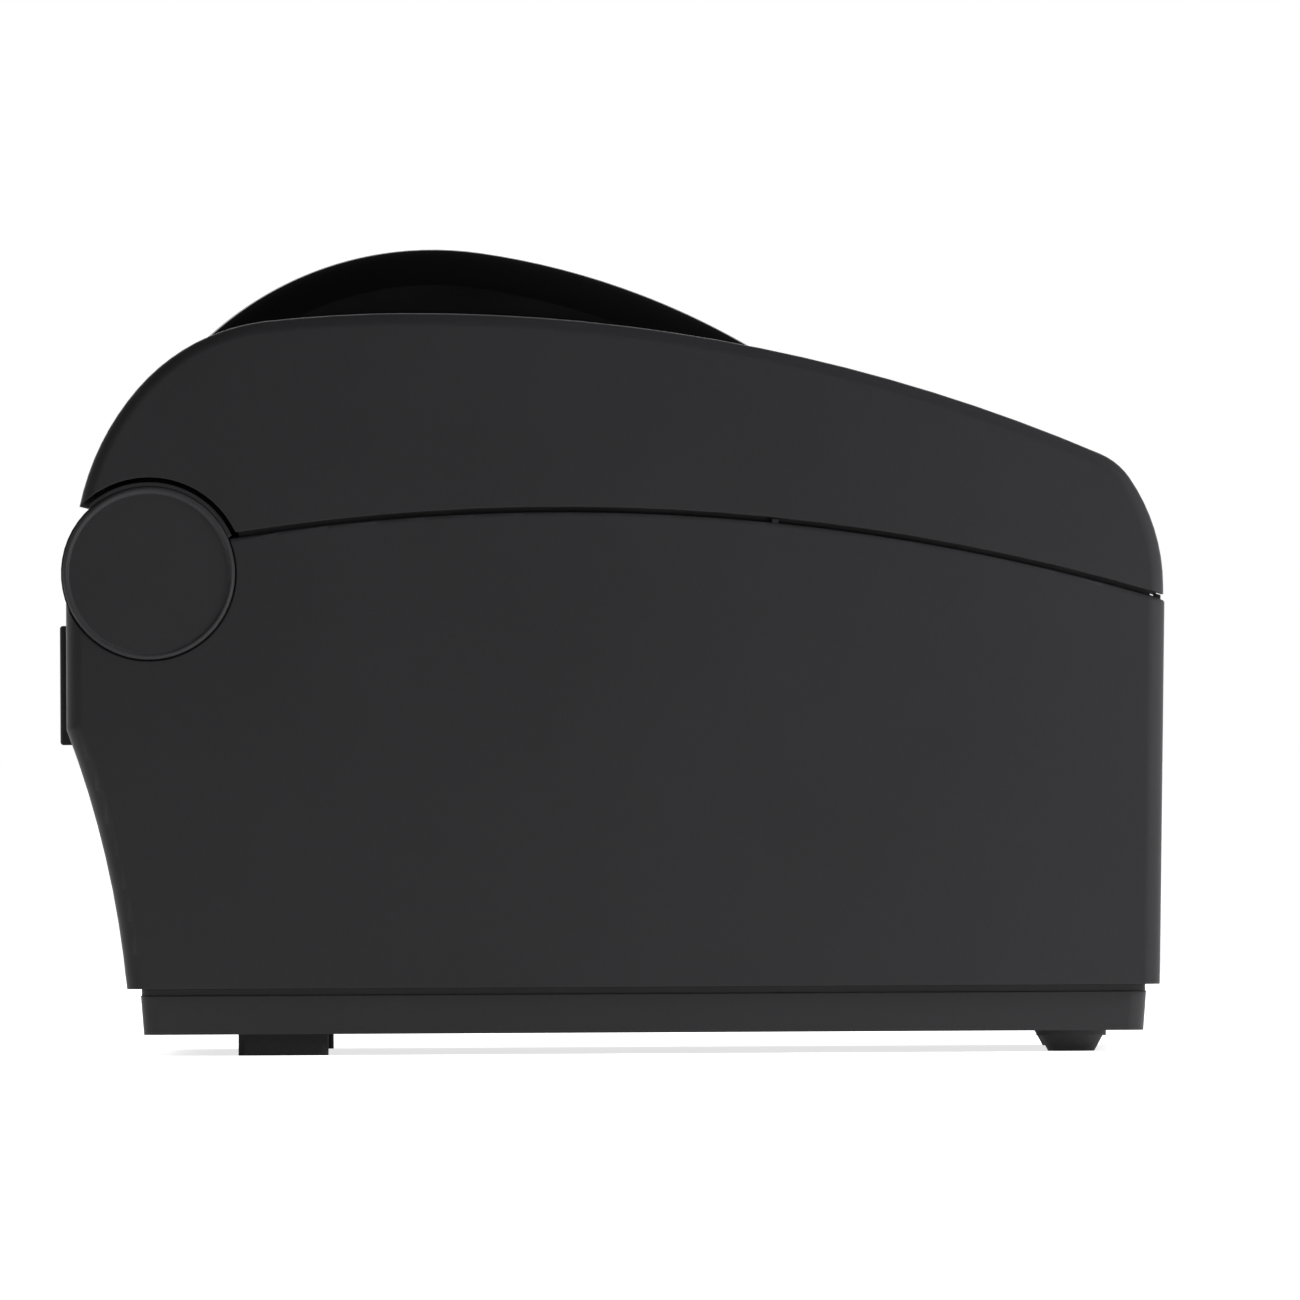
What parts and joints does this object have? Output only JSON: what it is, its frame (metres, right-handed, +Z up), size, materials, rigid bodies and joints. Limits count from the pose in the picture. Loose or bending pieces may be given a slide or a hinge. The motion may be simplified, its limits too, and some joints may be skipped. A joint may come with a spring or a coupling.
{
  "type": "thermal label printer",
  "caption": "Desktop thermal label printer: dark clamshell case, hinged cover with a domed gloss window over the roll, geared platen and a print head in the cover.",
  "frame": {"origin": "on the table under the middle of the bounding box", "axes": "+X towards the label exit at the front, +Y the printer's left, +Z up"},
  "size_m": [0.272, 0.226, 0.1985],
  "materials": {
    "case_plastic": "fine-grained",
    "inner_plastic": "fine-grained",
    "holder_plastic": "satin",
    "window_plastic": "polished",
    "button_plastic": "satin",
    "lens_plastic": "polished",
    "foot_rubber": "matt",
    "platen_rubber": "ground",
    "steel": "plain",
    "sheet_steel": "zinc plated",
    "aluminium": "extruded",
    "ceramic": "glazed",
    "gear_plastic": "moulded",
    "board": "lacquered",
    "chip": "moulded",
    "socket_metal": "plated",
    "socket_plastic": "moulded"
  },
  "bodies": {
    "base": {"label_deck": "inner_plastic", "lever_pocket": "inner_plastic", "base_housing": "case_plastic", "bottom_plate": "case_plastic", "rear_feet": "foot_rubber", "front_feet": "foot_rubber", "hinge_caps": "case_plastic", "hinge_pins": "steel", "rear_slot_bezel": "case_plastic", "roll_bay": "inner_plastic", "pinion_clip": "steel", "platen_frame": "sheet_steel", "platen_bushes": "gear_plastic", "idler_axle": "steel", "motor_body": "sheet_steel", "tear_bar": "steel", "main_board": "board", "board_chips": "chip", "usb_socket": "socket_metal", "network_socket": "socket_plastic", "power_jack": "socket_plastic", "socket_panel": "sheet_steel", "switch_body": "socket_plastic", "bottom_screws": "steel", "frame_screws": "steel", "board_screws": "steel"},
    "cover": {"cover_shell": "case_plastic", "cover_window": "window_plastic", "head_carrier": "inner_plastic", "head_bracket": "sheet_steel", "head_heatsink": "aluminium", "head_substrate": "ceramic", "head_springs": "steel", "latch_strikers": "sheet_steel", "status_lenses": "lens_plastic", "button_board": "board"},
    "feed_button": {"feed_button": "button_plastic"},
    "platen": {"platen_shaft": "steel", "platen_rubber": "platen_rubber", "platen_gear": "gear_plastic"},
    "idler": {"idler_gear": "gear_plastic"},
    "motor_rotor": {"motor_shaft": "steel", "motor_pinion": "gear_plastic"},
    "holder_left": {"roll_holder_left": "holder_plastic"},
    "holder_right": {"roll_holder_right": "holder_plastic"},
    "hub_left": {"roll_hub_left": "holder_plastic"},
    "hub_right": {"roll_hub_right": "holder_plastic"},
    "holder_pinion": {"rack_pinion": "gear_plastic"},
    "sensor": {"media_sensor": "socket_plastic"},
    "latch": {"latch_shaft": "steel", "latch_hooks": "holder_plastic", "release_lever": "button_plastic"},
    "rocker": {"power_rocker": "socket_plastic"}
  },
  "joints": [
    {"name": "cover_open", "type": "hinge", "parent": "base", "child": "cover", "pos_m": [-0.1136, 0, 0.1187], "axis": [0, -1, 0], "range_deg": [0, 74]},
    {"name": "feed_press", "type": "slide", "parent": "cover", "child": "feed_button", "axis": [-0.3453, 0, -0.9385], "range_m": [0, 0.0008], "stiffness_N_per_m": 1800},
    {"name": "platen_spin", "type": "hinge", "parent": "base", "child": "platen", "pos_m": [0.1195, 0, 0.10417], "axis": [0, 1, 0], "continuous": true},
    {"name": "idler_spin", "type": "hinge", "parent": "base", "child": "idler", "pos_m": [0.11308, 0.066, 0.0904], "axis": [0, 1, 0], "continuous": true},
    {"name": "motor_spin", "type": "hinge", "parent": "base", "child": "motor_rotor", "pos_m": [0.10228, 0.066, 0.07169], "axis": [0, 1, 0], "continuous": true},
    {"name": "holder_left_slide", "type": "slide", "parent": "base", "child": "holder_left", "axis": [0, -1, 0], "range_m": [0, 0.046]},
    {"name": "holder_right_slide", "type": "slide", "parent": "base", "child": "holder_right", "axis": [0, 1, 0], "range_m": [0, 0.046]},
    {"name": "holder_pinion_turn", "type": "hinge", "parent": "base", "child": "holder_pinion", "pos_m": [-0.044, 0, 0.03], "axis": [0, 0, 1], "range_deg": [0, 330]},
    {"name": "hub_left_spin", "type": "hinge", "parent": "holder_left", "child": "hub_left", "pos_m": [-0.044, 0.056, 0.116], "axis": [0, 1, 0], "continuous": true},
    {"name": "hub_right_spin", "type": "hinge", "parent": "holder_right", "child": "hub_right", "pos_m": [-0.044, -0.056, 0.116], "axis": [0, 1, 0], "continuous": true},
    {"name": "sensor_slide", "type": "slide", "parent": "base", "child": "sensor", "axis": [0, 1, 0], "range_m": [-0.04, 0.04]},
    {"name": "latch_release", "type": "hinge", "parent": "base", "child": "latch", "pos_m": [0.086, 0, 0.10131], "axis": [0, -1, 0], "range_deg": [0, 12], "stiffness_Nm_per_rad": 0.4, "springref_deg": -5.73},
    {"name": "power_rock", "type": "hinge", "parent": "base", "child": "rocker", "pos_m": [-0.1149, 0.058, 0.0345], "axis": [0, -1, 0], "range_deg": [0, 14]}
  ],
  "couplings": [
    {"joint": "idler_spin", "follows": "platen_spin", "ratio": -1.375},
    {"joint": "motor_spin", "follows": "platen_spin", "ratio": 3.9286},
    {"joint": "holder_right_slide", "follows": "holder_left_slide", "ratio": 1},
    {"joint": "holder_pinion_turn", "follows": "holder_left_slide", "rad_per_m": 125}
  ]
}
